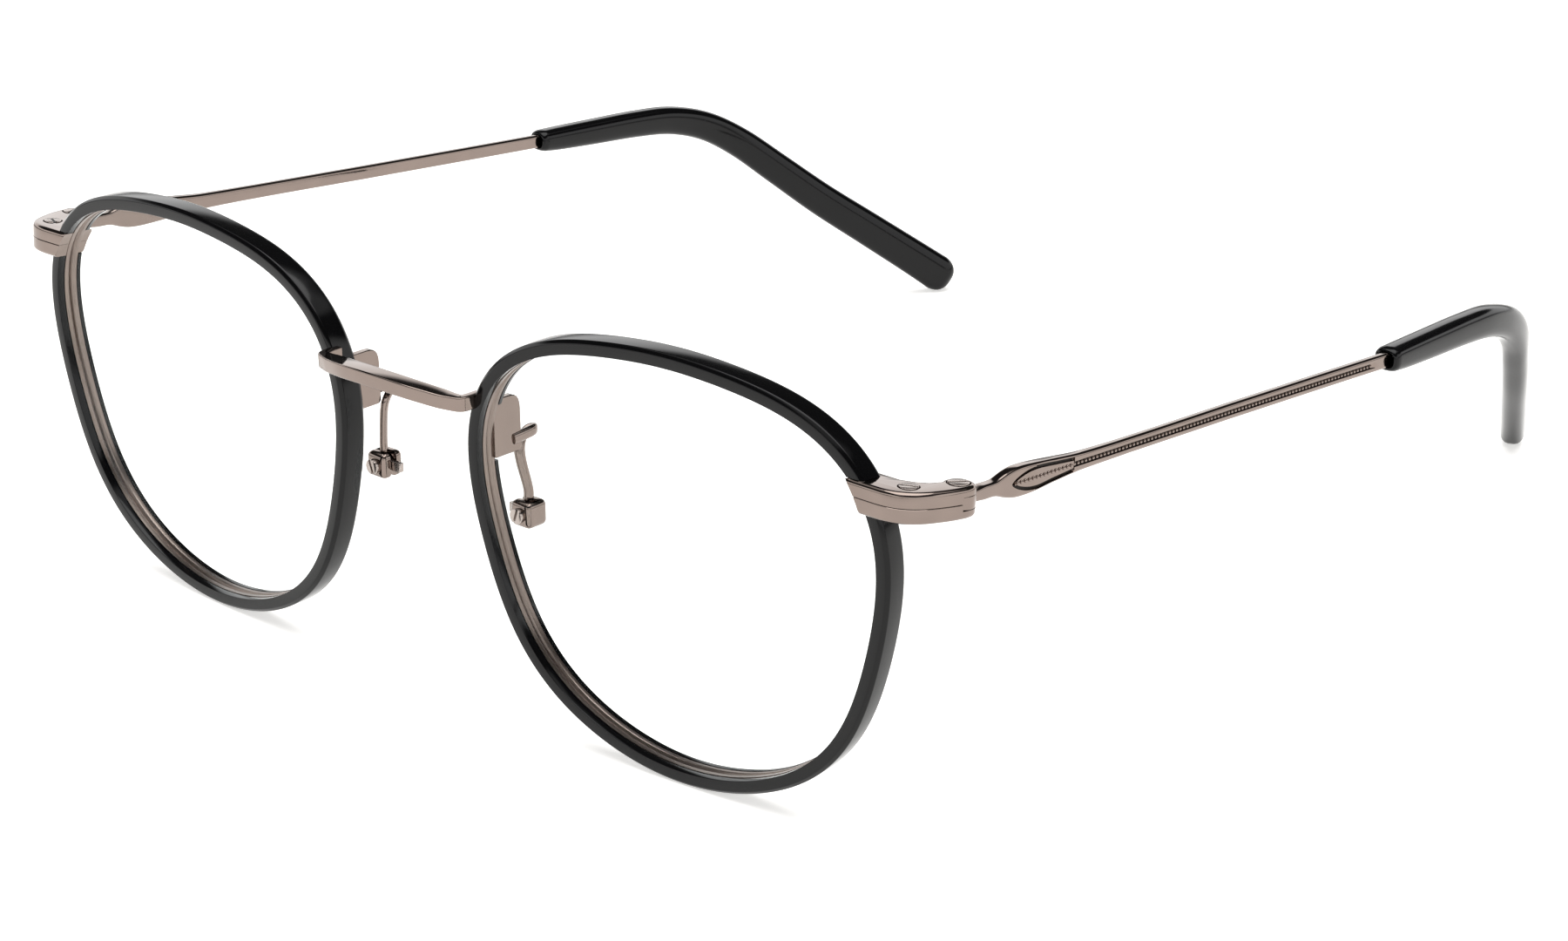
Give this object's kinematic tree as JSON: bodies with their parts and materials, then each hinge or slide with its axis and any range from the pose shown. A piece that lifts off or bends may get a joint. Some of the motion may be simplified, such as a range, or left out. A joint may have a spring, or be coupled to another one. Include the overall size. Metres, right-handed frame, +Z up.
{
  "type": "eyeglasses",
  "caption": "Wire eyeglasses with black rim rings, a curved bridge bar, screwed hinges, folding temples, adjustable nose pads and drop ends.",
  "frame": {"origin": "middle of the box round the open glasses, on the table they stand on", "axes": "+X to the wearer's left, +Y from the front to the ears, +Z up"},
  "size_m": [0.1338, 0.1444, 0.0455],
  "materials": {
    "gunmetal": "polished gunmetal plating",
    "black_acetate": "tumble-polished cellulose acetate",
    "screw_steel": "turned stainless steel",
    "lens_clear": "clear polished lens",
    "pad_clear": "clear soft pad"
  },
  "bodies": {
    "front": {"bridge": "gunmetal", "rim_left": "black_acetate", "rim_right": "black_acetate", "eyewire_left": "gunmetal", "eyewire_right": "gunmetal", "lens_left": "lens_clear", "lens_right": "lens_clear", "endpiece_upper_left": "gunmetal", "endpiece_upper_right": "gunmetal", "endpiece_lower_left": "gunmetal", "endpiece_lower_right": "gunmetal", "rim_screw_left": "screw_steel", "rim_screw_right": "screw_steel", "hinge_screw_left": "screw_steel", "hinge_screw_right": "screw_steel", "pad_plate_left": "gunmetal", "pad_plate_right": "gunmetal", "pad_arm_left": "gunmetal", "pad_arm_right": "gunmetal", "pad_box_left": "gunmetal", "pad_box_right": "gunmetal", "pad_screw_left": "screw_steel", "pad_screw_right": "screw_steel"},
    "temple_left": {"temple_left": "gunmetal", "temple_tip_left": "black_acetate"},
    "temple_right": {"temple_right": "gunmetal", "temple_tip_right": "black_acetate"},
    "nose_pad_left": {"nose_pad_left": "pad_clear", "pad_insert_left": "screw_steel"},
    "nose_pad_right": {"nose_pad_right": "pad_clear", "pad_insert_right": "screw_steel"}
  },
  "joints": [
    {"name": "temple_fold_left", "type": "hinge", "parent": "front", "child": "temple_left", "pos_m": [0.06519, -0.05831, 0.03585], "axis": [0, 0.0819, 0.9966], "range_deg": [0, 81]},
    {"name": "temple_fold_right", "type": "hinge", "parent": "front", "child": "temple_right", "pos_m": [-0.06519, -0.05831, 0.03585], "axis": [0, -0.0819, -0.9966], "range_deg": [0, 57]},
    {"name": "pad_rock_left", "type": "hinge", "parent": "front", "child": "nose_pad_left", "pos_m": [0.01085, -0.06116, 0.0214], "axis": [0, 1, 0], "range_deg": [-8, 8]},
    {"name": "pad_rock_right", "type": "hinge", "parent": "front", "child": "nose_pad_right", "pos_m": [-0.01085, -0.06116, 0.0214], "axis": [0, 1, 0], "range_deg": [-8, 8]}
  ]
}
